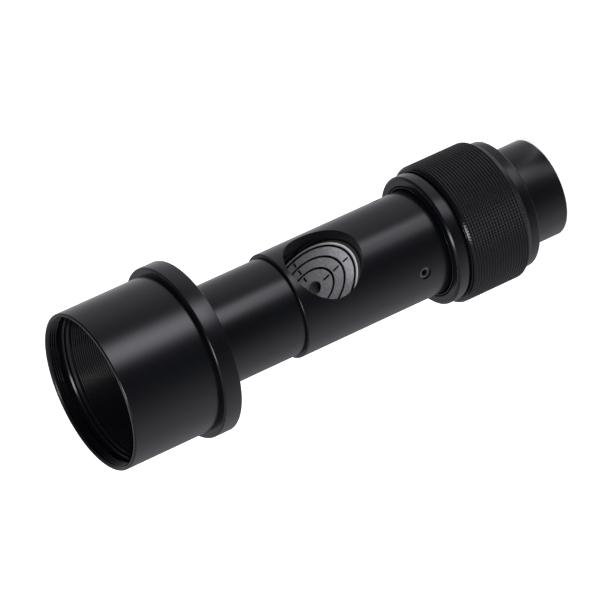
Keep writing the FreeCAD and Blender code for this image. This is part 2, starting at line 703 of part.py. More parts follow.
def battery_cap():
    """Screw cap flush in the tail, with a coin slot and a groove for its seal."""
    cap_r = CAP_THREAD_R - SEAT_PLAY
    disc = rod(cap_r, Z_CAP, CAP_LEN)
    slot = Part.makeBox(CAP_SLOT_LEN, CAP_SLOT_WIDTH, CAP_SLOT_DEPTH,
                        V(-CAP_SLOT_LEN / 2, -CAP_SLOT_WIDTH / 2, Z_CAP))
    seal_room = tube(2 * cap_r, cap_r - 2 * CAP_SEAL_R, Z_CAP + CAP_SEAL_RISE - CAP_SEAL_R,
                     2 * CAP_SEAL_R)
    return disc.cut([slot, seal_room])


def cap_seal():
    """Rubber ring in the cap's groove."""
    return o_ring(CAP_THREAD_R - SEAT_PLAY - CAP_SEAL_R, CAP_SEAL_R, Z_CAP + CAP_SEAL_RISE)


PIECES = (
    two_inch_adapter, main_tube, target_block, target_lock_ring, laser_barrel, collimating_lens,
    lens_retainer, laser_diode, driver_board, lead_wires, adjusting_screws, pressure_ring,
    laser_retainer, board_spacer, switch_board, board_retainer, stop_pin, retaining_clip,
    drag_ring, battery_housing, knurled_grip, front_collar, contact_carrier, centre_pin,
    contact_pins, battery_cup, battery_rivet, battery_cell, battery_leaf, battery_cap, cap_seal,
)

os.makedirs("parts", exist_ok=True)
for piece in PIECES:
    shape = piece()
    name = piece.__name__
    if not shape.isValid():
        raise ValueError(name + " isn't a valid solid")
    shape.exportStep("parts/" + name + ".step")
    print(name, len(shape.Solids), round(shape.Volume, 2))
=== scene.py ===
import json
import math

import bmesh
import bpy
from mathutils import Matrix, Vector

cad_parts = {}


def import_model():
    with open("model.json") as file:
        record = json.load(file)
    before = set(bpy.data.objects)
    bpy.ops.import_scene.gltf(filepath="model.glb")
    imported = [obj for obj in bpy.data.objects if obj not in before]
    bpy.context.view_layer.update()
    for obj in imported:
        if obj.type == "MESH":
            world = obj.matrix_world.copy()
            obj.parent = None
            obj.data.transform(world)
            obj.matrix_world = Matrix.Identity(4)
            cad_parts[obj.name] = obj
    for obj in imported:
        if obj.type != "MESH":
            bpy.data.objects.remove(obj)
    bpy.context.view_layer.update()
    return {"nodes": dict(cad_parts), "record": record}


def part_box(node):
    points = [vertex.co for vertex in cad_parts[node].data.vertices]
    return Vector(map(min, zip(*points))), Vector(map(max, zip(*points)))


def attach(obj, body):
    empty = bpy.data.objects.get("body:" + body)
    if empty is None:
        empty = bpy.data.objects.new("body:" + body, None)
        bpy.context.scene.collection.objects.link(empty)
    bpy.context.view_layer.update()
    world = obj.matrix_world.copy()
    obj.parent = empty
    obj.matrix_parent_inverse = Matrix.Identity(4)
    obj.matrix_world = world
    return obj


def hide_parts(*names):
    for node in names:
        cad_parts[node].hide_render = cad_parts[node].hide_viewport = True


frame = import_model()

MM = 0.001
SEGMENTS = 256
WINDOW_SEGMENTS = 192
SCREW_SEGMENTS = 48

# Camera: the photograph's place, aim and roll about the part, and its long lens
CAMERA_PLACE = (-0.58143, -1.22175, 0.69316)
CAMERA_AIM = (0.39020, 0.82540, -0.40803)
CAMERA_UP = (0.74850, -0.54240, -0.38156)
SENSOR_WIDTH = 36.0
LENS = 287.66
CLIP_RANGE = (0.05, 60.0)

# Outer form of the turned pieces, millimetres from the tail end or from the axis
TAIL_LEN = 13.9
REAR_COLLAR_LEN = 3.7
GRIP_LEN = 22.1
GROOVE_LEN = 1.0
FRONT_COLLAR_LEN = 4.2
BODY_LEN = 52.4
NOSE_LEN = 30.7
FLANGE_LEN = 6.2
BARREL_LEN = 30.1
NOSE_R = 15.875
BARREL_R = 25.4
BODY_R = 17.05
FLANGE_R = 27.74
REAR_COLLAR_R = 20.89
FRONT_COLLAR_R = 21.13
GRIP_R = 22.7
SLEEVE_R = 20.2

Z_REAR_COLLAR = TAIL_LEN
Z_GRIP = Z_REAR_COLLAR + REAR_COLLAR_LEN
Z_GROOVE = Z_GRIP + GRIP_LEN
Z_FRONT_COLLAR = Z_GROOVE + GROOVE_LEN
Z_BODY = Z_FRONT_COLLAR + FRONT_COLLAR_LEN
Z_NOSE = Z_BODY + BODY_LEN
Z_FLANGE = Z_NOSE + NOSE_LEN
Z_BARREL = Z_FLANGE + FLANGE_LEN
Z_FRONT = Z_BARREL + BARREL_LEN

# Bores and seats inside the turned pieces
TUBE_BORE_R = 12.65
STUB_R = 14.25
STUB_LEN = 6.0
STUB_BORE_R = 12.5
STUB_PLAY = 0.05
STUB_ROOM = 0.5
ADAPTER_FLOOR = 3.0
FLOOR_FOOT = 1.0
FOOT_CHAMFER = 0.5
BARREL_BORE_R = 23.2
RELIEF_R = 24.4
FRONT_CHAMFER = 0.42
RELIEF_LEN = 1.7
RELIEF_CONE_R = 24.05
STEP_R = 23.7
STEP_CHAMFER = 0.45
BORE_TAPER = 0.8
WINDOW_R = 12.2
WINDOW_ANGLE = -89.0
Z_WINDOW = 83.3
Z_TARGET_FACE = 84.3
Z_SCREWS = 54.1
SCREW_R = 2.0
SCREW_ANGLES = (-150.0, -30.0, 90.0)
SMALL_CHAMFER = 0.3
SHORT_ROW = 0.05
WALL_ROW = 1.6
CUT_REACH = 30.0

# Dial: battery housing with its sleeve and cap bore, and the front collar's lip round the tube,
# as (radius, depth behind the collar's front face)
TAIL_CHAMFER = 0.36
CAP_BORE_R = 13.2
CAP_BORE_LEN = 4.6
CELL_BORE_R = 12.4
REAR_COLLAR_CHAMFER = 0.5
SLEEVE_THREAD_R = 18.9
SLEEVE_THREAD_LEN = 4.2
SHOULDER_RISE = 2.8
DIAL_PLAY = 0.08
COLLAR_THREAD_R = 18.85
COLLAR_THREAD_LEN = 3.0
COLLAR_BORE_R = 17.45
FRONT_COLLAR_CHAMFER = 0.65
COLLAR_LIP = ((18.4, 0.0), (17.95, 0.6), (17.85, 0.05), (17.6, 0.0), (COLLAR_BORE_R, 0.2))

# Filter thread at the mouth, and the anti-glare ribs behind it
THREAD_R = 24.0
THREAD_PITCH = 0.75
THREAD_DEPTH = 0.4
THREAD_FLANK = 1.35
THREAD_LEN = 4.2
THREAD_STEPS = 12
MOUTH_CHAMFER = 0.55
RIB_PITCH = 0.72
RIB_DEPTH = 0.232
RIB_START = 7.4
RIB_STEPS = 10
RIB_SHARP_DEG = 28.0

# Knurl of the grip: one row of it as (height, share of the depth), and one line of it as
# (share of the way round, share of the depth)
KNURL_ROWS = 19
KNURL_PITCH = 1.015
KNURL_AROUND = 142
KNURL_DEPTH = 0.38
KNURL_CROSS_DEPTH = 0.14
KNURL_ROW = ((0.17, 0.0), (0.46, 1.0), (0.555, 1.0), (0.845, 0.0))
KNURL_LINE = ((0.0, 0.0), (0.18, 0.1), (0.36, 0.62), (0.5, 1.0), (0.64, 0.62), (0.82, 0.1))
GRIP_REAR_CHAMFER = (2.0, 1.4)
GRIP_FRONT_CHAMFER = (0.7, 0.7)
GRIP_PLAY = 0.05
GRIP_BEAD_R = 21.12
GRIP_BEAD = 0.22
BEAD_STEPS = 6

# Target: its hole and marks, and the places of its painted highlights and painted shade, in
# millimetres from the axis or into the face
PIN_HOLE_R = 2.3
HOLE_EDGE = 0.05
RING_RADII = (5.7, 8.65, 11.4)
RING_WIDTH = 0.5
DASH_WIDTH = 0.35
DASH_SPREAD = 0.22
DASH_CLEARANCE = 0.65
DASH_START_GAP = 1.1
MARK_DEPTH = 0.35
MARK_SPREAD = 0.08
# Band of painted highlight near the target's rim, with painted shade outside it
RIM_HIGHLIGHT_SPAN = (12.0, 12.2)
# Depths of painted shade on the hole wall, and of painted black shade deeper in
HOLE_SHADE_DEPTH = (1.3, 1.7)
HOLE_BLACK_SHADE_DEPTH = (4.3, 5.8)
# Side of the hole where a painted glint lies, and how strong it is
HOLE_PAINTED_GLINT = (-0.3, -1.3)
HOLE_GLINT_SHARE = 0.85

# Target: its tones and gloss, and the colours painted on it as highlight and shade
TARGET_METAL = ((0.36, 0.36, 0.395), (0.66, 0.66, 0.715))
TARGET_TONE = (0.7, 1.3)
TARGET_METALLIC = 0.12
TARGET_SPECULAR = 0.08
TARGET_ROUGHNESS = (0.38, 0.5)
# Painted highlight: on the rim band and as the glint in the hole
PAINTED_HIGHLIGHT = (0.95, 0.95, 0.95)
# Painted shade outside the rim band
RIM_PAINTED_SHADE = (0.06, 0.06, 0.06)
# Painted shade on the hole wall
HOLE_PAINTED_SHADE = (0.22, 0.20, 0.195)
# Black fill of the engraved marks, also painted as the shade deep in the hole
MARK_FILL_AND_HOLE_SHADE = (0.004, 0.004, 0.004)
MARK_MATT = 0.35

# Grain of the surfaces: scales of the noise, and the stretch that makes lines of it
GRAIN_SCALE = 5200.0
CLOUD_SCALE = 45.0
LINE_SCALE = 60.0
LINE_STRETCH = (1.0, 1.0, 120.0)
STROKE_SCALE = 900.0
STROKE_STRETCH = (1.0, 9.0, 9.0)
TARGET_CLOUD_SCALE = 1400.0
SKIN_SCALE = 900.0
PLASTIC_CLOUD_SCALE = 80.0
FILM_SCALE = 120.0
GRAIN_HEIGHT = 0.00003
SKIN_HEIGHT = 0.00005

# Edge softening of the turned pieces, and the gloss of the grip's turned chamfer
SOFT_EDGE = 0.12
SOFT_SHARE = 0.4
SHARP_DEG = 35.0
SMOOTH_ROUGHNESS = 0.16

# The studio as gloss shows it, as (bearing in degrees, level): low is what stands below the
# part's own height, a strip lamp at one side with a dark flag beside it; high is just above it
GLOSS_LOW = (
    (-180.0, 0.82), (-166.0, 0.58), (-152.0, 0.30), (-140.0, 0.18), (-125.0, 0.12),
    (-112.0, 0.22), (-104.0, 0.70), (-97.0, 3.20), (-91.0, 6.70), (-84.0, 7.80), (-77.0, 6.80),
    (-71.0, 3.80), (-64.0, 1.05), (-57.0, 0.50), (-45.0, 0.66), (-25.0, 0.92), (-8.0, 0.86),
    (5.0, 0.78), (25.0, 0.80), (35.0, 0.80), (45.0, 0.78), (60.0, 0.50), (75.0, 0.24),
    (85.0, 0.30), (95.0, 0.42), (125.0, 0.84), (155.0, 1.12), (170.0, 1.00), (180.0, 0.82),
)
GLOSS_HIGH = (
    (-180.0, 0.85), (-160.0, 0.70), (-125.0, 0.20), (-90.0, 0.10), (-20.0, 0.10), (0.0, 0.25),
    (30.0, 0.50), (60.0, 0.50), (100.0, 0.45), (130.0, 0.60), (180.0, 0.85),
)
GLOSS_HORIZON = (-0.22, 0.02)
GLOSS_BELOW = (-0.99, -0.93, 0.25, 1.0)
GLOSS_TOP = 8.0
GLOSS_TINT = (1.0, 0.985, 1.07)

# The strip lamp slants: seen from the lower end of the part its near side is dimmer and its far
# side brighter, as (distance from the axis in metres, share) and (bearing in degrees, amount).
# Beside the tail the floor's own table holds, as (bearing in degrees, level).
DIM_NEAR = ((0.0, 0.8), (0.25, 0.8), (0.33, 0.0), (0.5, 0.0))
DIM_BEARING = ((-180.0, 0.0), (-112.0, 0.0), (-105.0, 0.60), (-100.0, 0.72), (-83.0, 0.68),
               (-78.0, 0.35), (-73.0, 0.0), (180.0, 0.0))
LIFT_NEAR = ((0.0, 0.25), (0.2, 0.25), (0.27, 0.1), (0.33, 0.0), (0.5, 0.0))
LIFT_BEARING = ((-180.0, 0.0), (-160.0, 0.0), (-150.0, 0.5), (-116.0, 0.5), (-110.0, 0.0),
                (-80.0, 0.0), (-74.0, 0.4), (-64.6, 0.8), (-55.0, 1.0), (-50.0, 1.0),
                (-44.6, 0.65), (-34.6, 0.3), (-25.0, 0.0), (180.0, 0.0))
LIFT_MOST = 2.0
TAIL_SIDE = (0.045, 0.07)
TAIL_BEARING = ((-180.0, 1.0), (-150.0, 1.0), (-135.0, 1.2), (-122.0, 1.6), (-114.0, 1.5),
                (-109.0, 0.7), (-104.0, 0.38), (-100.0, 0.30), (-92.0, 0.30), (-85.0, 0.52),
                (-77.0, 1.3), (-70.0, 2.2), (-63.0, 1.4), (-56.0, 0.95), (-48.0, 0.9), (180.0, 1.0))

# Light of the room on the part, the floor's grey and how much it is lifted to white for the camera
ROOM_LEVEL = 0.45
FLOOR_GREY = 0.8
FLOOR_LIFT = 0.78
FLOOR_SIZE = 12.0

# Soft lamps: name, place, side and power, and the point they face
LAMPS = (("key_lamp", (-0.614, -0.462, 1.31), 0.38, 8.0),
         ("back_lamp", (0.34, 0.725, 1.466), 1.1, 14.0))
LAMP_AIM = (0, 0, 0.08)


def node_tree(material):
    """Empties a material's nodes and returns its tree, shader and a coordinate node."""
    material.use_nodes = True
    tree = material.node_tree
    tree.nodes.clear()
    output = tree.nodes.new("ShaderNodeOutputMaterial")
    shader = tree.nodes.new("ShaderNodeBsdfPrincipled")
    tree.links.new(shader.outputs["BSDF"], output.inputs["Surface"])
    coordinates = tree.nodes.new("ShaderNodeTexCoord")
    return tree, shader, coordinates.outputs["Object"]


def ranged(tree, value, start, end, low, high):
    """Maps a value from start..end to low..high, and holds it at the ends."""
    node = tree.nodes.new("ShaderNodeMapRange")
    for name, number in (("From Min", start), ("From Max", end), ("To Min", low), ("To Max", high)):
        node.inputs[name].default_value = number
    tree.links.new(value, node.inputs["Value"])
    return node.outputs["Result"]


def math_node(tree, operation, first, second=None, third=None):
    """One Math node; each operand is a number or a socket."""
    node = tree.nodes.new("ShaderNodeMath")
    node.operation = operation
    for index, value in enumerate((first, second, third)):
        if value is None:
            continue
        if isinstance(value, (int, float)):
            node.inputs[index].default_value = value
        else:
            tree.links.new(value, node.inputs[index])
    return node.outputs[0]


def blended(tree, factor, first, second):
    """Mixes two numbers, sockets or not, by a factor."""
    step = math_node(tree, "SUBTRACT", 1.0, factor)
    return math_node(tree, "ADD", math_node(tree, "MULTIPLY", step, first),
                     math_node(tree, "MULTIPLY", factor, second))


def axes(tree, vector):
    """X, Y and Z of a vector."""
    split = tree.nodes.new("ShaderNodeSeparateXYZ")
    tree.links.new(vector, split.inputs["Vector"])
    return split.outputs["X"], split.outputs["Y"], split.outputs["Z"]


def off_axis(tree, x, y):
    """Distance from the part's axis."""
    return math_node(tree, "SQRT", math_node(tree, "ADD", math_node(tree, "MULTIPLY", x, x),
                                             math_node(tree, "MULTIPLY", y, y)))


def bearing_of(tree, x, y):
    """Direction round the axis, in degrees."""
    return math_node(tree, "MULTIPLY", math_node(tree, "ARCTAN2", y, x), math.degrees(1.0))


def noise(tree, vector, scale, detail=2.0, stretch=(1.0, 1.0, 1.0)):
    """Noise factor on a scaled vector."""
    mapping = tree.nodes.new("ShaderNodeMapping")
    mapping.inputs["Scale"].default_value = stretch
    tree.links.new(vector, mapping.inputs["Vector"])
    texture = tree.nodes.new("ShaderNodeTexNoise")
    texture.inputs["Scale"].default_value = scale
    texture.inputs["Detail"].default_value = detail
    tree.links.new(mapping.outputs["Vector"], texture.inputs["Vector"])
    return texture.outputs["Fac"]


def spread(tree, factor, low, high):
    """Maps a factor from 0..1 to low..high."""
    return ranged(tree, factor, 0.0, 1.0, low, high)


def mixed(tree, factor, first, second):
    """Mixes a colour, plain or a socket, towards a plain colour by a factor."""
    node = tree.nodes.new("ShaderNodeMix")
    node.data_type = "RGBA"
    tree.links.new(factor, node.inputs["Factor"])
    if isinstance(first, tuple):
        node.inputs["A"].default_value = (*first, 1.0)
    else:
        tree.links.new(first, node.inputs["A"])
    node.inputs["B"].default_value = (*second, 1.0)
    return node.outputs["Result"]


def bump(tree, shader, height, strength, distance):
    """Bump of a height factor on the shader's normal."""
    node = tree.nodes.new("ShaderNodeBump")
    node.inputs["Strength"].default_value = strength
    node.inputs["Distance"].default_value = distance
    tree.links.new(height, node.inputs["Height"])
    tree.links.new(node.outputs["Normal"], shader.inputs["Normal"])


def turned_metal(name, dark, light, roughness, metallic=0.0, specular=0.5, grain=0.05, lines=0.25,
                 smooth_above=None):
    """Turned and blasted metal: fine grain, faint turning lines round the axis, uneven gloss.

    Above the height smooth_above, in millimetres, the surface is a finer turned one.
    """
    material = bpy.data.materials.new(name)
    tree, shader, place = node_tree(material)
    grain_noise = noise(tree, place, GRAIN_SCALE, 3.0)
    line_noise = noise(tree, place, LINE_SCALE, stretch=LINE_STRETCH)
    cloud = noise(tree, place, CLOUD_SCALE, 3.0)
    tone = math_node(tree, "MULTIPLY", math_node(tree, "ADD", grain_noise, cloud), 0.5)
    tree.links.new(mixed(tree, tone, dark, light), shader.inputs["Base Color"])
    gloss = math_node(tree, "MULTIPLY", math_node(tree, "ADD", cloud, line_noise), 0.5)
    rough = spread(tree, gloss, *roughness)
    if smooth_above is not None:
        fine = math_node(tree, "GREATER_THAN", axes(tree, place)[2], smooth_above * MM)
        rough = blended(tree, fine, rough, SMOOTH_ROUGHNESS)
    tree.links.new(rough, shader.inputs["Roughness"])
    height = math_node(tree, "ADD", grain_noise, math_node(tree, "MULTIPLY", line_noise, lines))
    bump(tree, shader, height, grain, GRAIN_HEIGHT)
    shader.inputs["Metallic"].default_value = metallic
    shader.inputs["Specular IOR Level"].default_value = specular
    return material


def moulded(name, dark, light, roughness):
    """Moulded plastic, rubber or board: slight colour change and a fine skin."""
    material = bpy.data.materials.new(name)
    tree, shader, place = node_tree(material)
    skin = noise(tree, place, SKIN_SCALE, 3.0)
    cloud = noise(tree, place, PLASTIC_CLOUD_SCALE)
    tree.links.new(mixed(tree, cloud, dark, light), shader.inputs["Base Color"])
    tree.links.new(spread(tree, skin, *roughness), shader.inputs["Roughness"])
    bump(tree, shader, skin, 0.12, SKIN_HEIGHT)
    shader.inputs["Specular IOR Level"].default_value = 0.4
    return material


def lens_glass():
    """Clear glass with a faint coating."""
    material = bpy.data.materials.new("lens_glass")
    tree, shader, place = node_tree(material)
    film = noise(tree, place, FILM_SCALE)
    tree.links.new(mixed(tree, film, (0.86, 0.90, 0.92), (0.92, 0.94, 0.90)),
                   shader.inputs["Base Color"])
    tree.links.new(spread(tree, film, 0.02, 0.05), shader.inputs["Roughness"])
    shader.inputs["Transmission Weight"].default_value = 0.9
    shader.inputs["IOR"].default_value = 1.52
    return material


def band(tree, value, centres, width):
    """1 where a value in metres is within half a width of a centre in millimetres, else 0."""
    result = None
    for centre in centres:
        away = math_node(tree, "ABSOLUTE", math_node(tree, "SUBTRACT", value, centre * MM))
        near = math_node(tree, "LESS_THAN", away, width / 2 * MM)
        result = near if result is None else math_node(tree, "MAXIMUM", result, near)
    return result


def target_metal():
    """Finely faced metal of the target; its engraved rings and cross marks are filled black. A band
    near the rim is a painted highlight with painted shade outside it, and the hole has painted
    shade on its wall that turns black deeper in, with a painted glint on one side.
    """
    material = bpy.data.materials.new("target_metal")
    tree, shader, place = node_tree(material)
    x, y, z = axes(tree, place)
    depth = math_node(tree, "SUBTRACT", math_node(tree, "ADD", y, Z_TARGET_FACE * MM), z)
    on_face = math_node(tree, "LESS_THAN", depth, 2.0 * MARK_DEPTH * MM)
    radius = off_axis(tree, x, y)
    marks = band(tree, radius, RING_RADII, RING_WIDTH + MARK_SPREAD)
    starts = [PIN_HOLE_R + DASH_START_GAP] + [r + DASH_CLEARANCE for r in RING_RADII[:-1]]
    ends = [r - DASH_CLEARANCE for r in RING_RADII]
    spans = [((start + end) / 2, end - start + MARK_SPREAD) for start, end in zip(starts, ends)]
    along = None
    for middle, length in spans:
        span = band(tree, radius, (middle,), length)
        along = span if along is None else math_node(tree, "MAXIMUM", along, span)
    arms = math_node(tree, "MAXIMUM", band(tree, x, (0.0,), DASH_WIDTH + DASH_SPREAD),
                     band(tree, y, (0.0,), DASH_WIDTH + MARK_SPREAD))
    marks = math_node(tree, "MAXIMUM", marks, math_node(tree, "MULTIPLY", arms, along))
    filled = math_node(tree, "MULTIPLY", marks, on_face)
    in_hole = math_node(tree, "LESS_THAN", radius, (PIN_HOLE_R + HOLE_EDGE) * MM)
    strokes = noise(tree, place, STROKE_SCALE, 4.0, STROKE_STRETCH)
    cloud = noise(tree, place, TARGET_CLOUD_SCALE, 3.0)
    tone = ranged(tree, math_node(tree, "ADD", strokes, cloud), *TARGET_TONE, 0.0, 1.0)
    metal = mixed(tree, tone, *TARGET_METAL)
    # Painted highlight on a band near the rim, and painted shade outside it
    rim_highlight = band(tree, radius, (sum(RIM_HIGHLIGHT_SPAN) / 2,), RIM_HIGHLIGHT_SPAN[1] - RIM_HIGHLIGHT_SPAN[0])
    edge = math_node(tree, "GREATER_THAN", radius, RIM_HIGHLIGHT_SPAN[1] * MM)
    sunk = mixed(tree, edge, mixed(tree, rim_highlight, metal, PAINTED_HIGHLIGHT), RIM_PAINTED_SHADE)
    # In the hole: painted shade on the wall, a painted glint on one side, and painted black shade
    # deeper in
    for (start, end), value, strength, colour in (
            (HOLE_SHADE_DEPTH, depth, 1.0, HOLE_PAINTED_SHADE),
            (HOLE_PAINTED_GLINT, x, HOLE_GLINT_SHARE, PAINTED_HIGHLIGHT),
            (HOLE_BLACK_SHADE_DEPTH, depth, 1.0, MARK_FILL_AND_HOLE_SHADE)):
        painted_share = ranged(tree, value, start * MM, end * MM, 0.0, strength)
        sunk = mixed(tree, math_node(tree, "MULTIPLY", in_hole, painted_share), sunk, colour)
    engraved = mixed(tree, filled, sunk, MARK_FILL_AND_HOLE_SHADE)
    tree.links.new(engraved, shader.inputs["Base Color"])
    bare = math_node(tree, "SUBTRACT", 1.0, filled)
    tree.links.new(math_node(tree, "MULTIPLY", bare, TARGET_METALLIC), shader.inputs["Metallic"])
    matt = math_node(tree, "MULTIPLY", filled, MARK_MATT)
    tree.links.new(math_node(tree, "ADD", spread(tree, cloud, *TARGET_ROUGHNESS), matt),
                   shader.inputs["Roughness"])
    shader.inputs["Specular IOR Level"].default_value = TARGET_SPECULAR
    bump(tree, shader, tone, 0.15, GRAIN_HEIGHT)
    return material


def make_materials():
    """One material for each of the record's slots."""
    return {
        "black_anodised": turned_metal("black_anodised", (0.0020, 0.0024, 0.0038),
                                       (0.0042, 0.0048, 0.0070), (0.19, 0.25), specular=0.25),
        "black_knurl": turned_metal("black_knurl", (0.0026, 0.0028, 0.0040),
                                    (0.0050, 0.0053, 0.0073), (0.36, 0.43), specular=0.22,
                                    lines=0.0, smooth_above=Z_GROOVE - GRIP_FRONT_CHAMFER[0]),
        "target_metal": target_metal(),
        "inner_ring": turned_metal("inner_ring", (0.012, 0.012, 0.013), (0.03, 0.03, 0.032),
                                   (0.35, 0.5)),
        "laser_brass": turned_metal("laser_brass", (0.55, 0.36, 0.13), (0.68, 0.47, 0.2),
                                    (0.22, 0.35), metallic=1.0),
        "lens_glass": lens_glass(),
        "gold_contact": turned_metal("gold_contact", (0.72, 0.5, 0.18), (0.85, 0.62, 0.26),
                                     (0.15, 0.28), metallic=1.0),
        "screw_steel": turned_metal("screw_steel", (0.06, 0.06, 0.062), (0.12, 0.12, 0.125),
                                    (0.25, 0.4), metallic=0.8),
        "spring_steel": turned_metal("spring_steel", (0.4, 0.4, 0.41), (0.56, 0.56, 0.57),
                                     (0.2, 0.35), metallic=1.0),
        "board_green": moulded("board_green", (0.008, 0.07, 0.025), (0.015, 0.11, 0.04),
                               (0.25, 0.4)),
        "wire_red": moulded("wire_red", (0.3, 0.012, 0.01), (0.4, 0.02, 0.016), (0.35, 0.5)),
        "black_plastic": moulded("black_plastic", (0.012, 0.012, 0.012), (0.022, 0.022, 0.022),
                                 (0.4, 0.55)),
        "black_rubber": moulded("black_rubber", (0.01, 0.01, 0.01), (0.018, 0.018, 0.018),
                                (0.6, 0.8)),
        "cell_steel": turned_metal("cell_steel", (0.5, 0.5, 0.5), (0.66, 0.66, 0.65),
                                   (0.2, 0.32), metallic=1.0),
    }


def at(r, angle, z):
    """Point at a radius, an angle and a height."""
    return (r * math.cos(angle), r * math.sin(angle), z)


def softened(outline, radius, steps=3):
    """Closed (radius, height) outline with each outward corner turned into a small arc."""
    points = []
    count = len(outline)
    corners = [Vector(point) for point in outline]
    turn = sum(corners[i - 1].x * corners[i].y - corners[i].x * corners[i - 1].y
               for i in range(count))
    for i, corner in enumerate(corners):
        before = corners[i - 1] - corner
        after = corners[(i + 1) % count] - corner
        bend = before.y * after.x - before.x * after.y
        if bend * turn <= 0.0:
            points.append(tuple(corner))
            continue
        reach = min(radius, SOFT_SHARE * before.length, SOFT_SHARE * after.length)
        start = corner + before.normalized() * reach
        end = corner + after.normalized() * reach
        for k in range(steps + 1):
            t = k / steps
            points.append(tuple(start * (1 - t) ** 2 + corner * 2 * t * (1 - t) + end * t ** 2))
    return points


def mesh_object(name, vertices, faces):
    """Mesh object from vertices in millimetres."""
    mesh = bpy.data.meshes.new(name)
    mesh.from_pydata([tuple(c * MM for c in v) for v in vertices], [], faces)
    mesh.validate()
    piece = bpy.data.objects.new(name, mesh)
    bpy.context.scene.collection.objects.link(piece)
    return piece


def outward(piece):
    """Makes a closed mesh's faces point outwards."""
    form = bmesh.new()
    form.from_mesh(piece.data)
    bmesh.ops.recalc_face_normals(form, faces=form.faces)
    form.to_mesh(piece.data)
    form.free()


def shade(piece, sharp_deg=SHARP_DEG):
    """Smooth shading with sharp edges above an angle."""
    piece.data.shade_smooth()
    piece.data.set_sharp_from_angle(angle=math.radians(sharp_deg))


def ring_grid(name, rows):
    """Closed surface from rows of points round the axis; the last row joins the first."""
    around = len(rows[0])
    faces = []
    for i in range(len(rows)):
        low, high = i * around, (i + 1) % len(rows) * around
        for j in range(around):
            k = (j + 1) % around
            faces.append((low + j, low + k, high + k, high + j))
    piece = mesh_object(name, [point for row in rows for point in row], faces)
    outward(piece)
    return piece


def turned(name, outline):
    """Solid of revolution from a closed outline of (radius, height) points."""
    return ring_grid(name, [[at(r, math.tau * j / SEGMENTS, z) for j in range(SEGMENTS)]
                            for r, z in outline])


def cut(piece, cutters):
    """Takes closed meshes away from a piece, and deletes them."""
    for cutter in cutters:
        modifier = piece.modifiers.new("cut", "BOOLEAN")
        modifier.operation = "DIFFERENCE"
        modifier.solver = "EXACT"
        modifier.object = cutter
    graph = bpy.context.evaluated_depsgraph_get()
    mesh = bpy.data.meshes.new_from_object(piece.evaluated_get(graph))
    piece.modifiers.clear()
    piece.data = mesh
    for cutter in cutters:
        bpy.data.objects.remove(cutter)


def dress(piece, body, slot, materials, *nodes):
    """Gives a piece its finish, its body and the nodes it stands for."""
    piece.data.materials.clear()
    piece.data.materials.append(materials[slot])
    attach(piece, body)
    if nodes:
        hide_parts(*nodes)


def lines_between(z_low, z_high, step):
    """Heights from z_low to z_high, no further apart than step, without the two ends."""
    count = max(1, math.ceil(abs(z_high - z_low) / step))
    return [z_low + (z_high - z_low) * k / count for k in range(1, count)]


def barrel_wall(z, turn):
    """Radius of the barrel's wall at a height, for the thread and the ribs; turn is 0 to 1."""
    depth = Z_FRONT - z
    if depth < THREAD_LEN:
        phase = (depth / THREAD_PITCH + turn) % 1.0
        flank = 0.5 + THREAD_FLANK * (abs(2.0 * phase - 1.0) - 0.5)
        start = min(1.0, max(0.0, (depth - MOUTH_CHAMFER) / THREAD_PITCH))
        run_out = max(0.0, 1.0 - (THREAD_LEN - depth) / THREAD_PITCH)
        return THREAD_R + THREAD_DEPTH * max(start * min(1.0, max(0.0, flank)), run_out)
    phase = (depth / RIB_PITCH + turn) % 1.0
    fade = min(1.0, max(0.0, (depth - RIB_START) / RIB_PITCH),
               max(0.0, (z - Z_FLANGE - ADAPTER_FLOOR - FLOOR_FOOT) / RIB_PITCH))
    ridge = 1.0 - abs(2.0 * phase - 1.0)
    taper = min(1.0, max(0.0, (RIB_START - depth) / BORE_TAPER))
    base_r = BARREL_BORE_R + taper * (STEP_R - BARREL_BORE_R)
    return base_r + RIB_DEPTH * fade * (ridge - 0.5)


